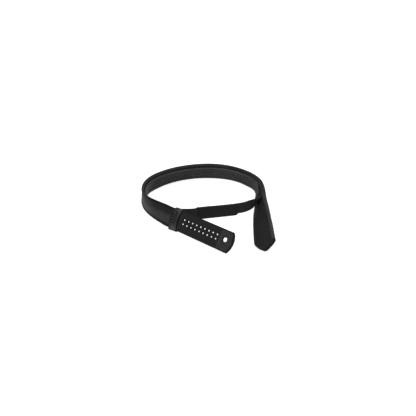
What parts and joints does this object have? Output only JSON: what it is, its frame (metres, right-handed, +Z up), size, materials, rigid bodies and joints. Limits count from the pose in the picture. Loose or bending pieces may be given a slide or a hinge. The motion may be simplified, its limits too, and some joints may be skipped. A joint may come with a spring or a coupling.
{
  "type": "esd wrist strap",
  "caption": "Black two-layer wrist strap lying as a loop: outer band with a perforated snap-stud tab and a pointed tail, and a padded inner liner closed by a hook-and-loop flap.",
  "frame": {"origin": "middle of the strap's footprint, on the table that it lies on", "axes": "+Z up, across the band; -Y towards the free ends of the tab and the tail; +X towards the tail's side"},
  "size_m": [0.107, 0.1394, 0.0167],
  "materials": {
    "binding": "satin edge binding",
    "band_face": "matt, lengthwise ridges",
    "stiffener": "matt sheet",
    "lining": "smooth, matt",
    "tab_leather": "matt, fine grain",
    "patch": "matt, pressed",
    "keeper_webbing": "coarse weave",
    "thread": "bonded thread",
    "ribbed_liner": "cross-ribbed padding",
    "liner_backing": "brushed",
    "piping": "tight weave",
    "strap_webbing": "tight weave",
    "loop_pile": "looped pile",
    "hook_tape": "moulded hooks",
    "flap": "smooth, satin"
  },
  "bodies": {
    "band": {"band_bottom_binding": "binding", "band_face": "band_face", "band_lining": "lining", "band_stiffener": "stiffener", "band_top_binding": "binding", "closure_pile": "loop_pile", "closure_strap_left": "strap_webbing", "closure_strap_right": "strap_webbing", "liner_backing": "liner_backing", "liner_bottom_piping": "piping", "liner_padding": "ribbed_liner", "liner_top_piping": "piping"},
    "flap": {"closure_flap": "flap", "closure_hook_tape": "hook_tape"},
    "keeper": {"keeper_cuff": "keeper_webbing", "keeper_hem": "keeper_webbing", "keeper_tacks": "thread"},
    "tab": {"tab_backing": "tab_leather", "tab_core": "stiffener", "tab_end_patch_back": "patch", "tab_end_patch_front": "patch", "tab_face": "tab_leather", "tab_root_backing": "patch", "tab_root_cover": "patch"},
    "tail": {"tail_face": "band_face", "tail_left_binding": "binding", "tail_lining": "lining", "tail_right_binding": "binding", "tail_stiffener": "stiffener"},
    "tail_tip": {"tail_tip_binding": "binding", "tail_tip_face": "band_face", "tail_tip_lining": "lining", "tail_tip_stiffener": "stiffener"}
  },
  "joints": [
    {"name": "tab_flex", "type": "hinge", "parent": "band", "child": "tab", "pos_m": [-0.02793, -0.02339, 0.00863], "axis": [-0.3996, -0.45, -0.7986], "range_deg": [0, 50]},
    {"name": "keeper_slide", "type": "slide", "parent": "tab", "child": "keeper", "axis": [0.7478, -0.6639, 0], "range_m": [0, 0.038]},
    {"name": "tail_swing", "type": "hinge", "parent": "band", "child": "tail", "pos_m": [0.04586, 0.03528, 0.0081], "axis": [-0.0427, -0.0104, 0.999], "range_deg": [0, 35]},
    {"name": "tail_lift", "type": "hinge", "parent": "tail", "child": "tail_tip", "pos_m": [0.04525, -0.03042, 0.00577], "axis": [-0.891, 0, -0.454], "range_deg": [0, 45]},
    {"name": "flap_peel", "type": "hinge", "parent": "band", "child": "flap", "pos_m": [-0.00474, -0.01735, 0.0081], "axis": [0, 0, -1], "range_deg": [0, 60]}
  ]
}
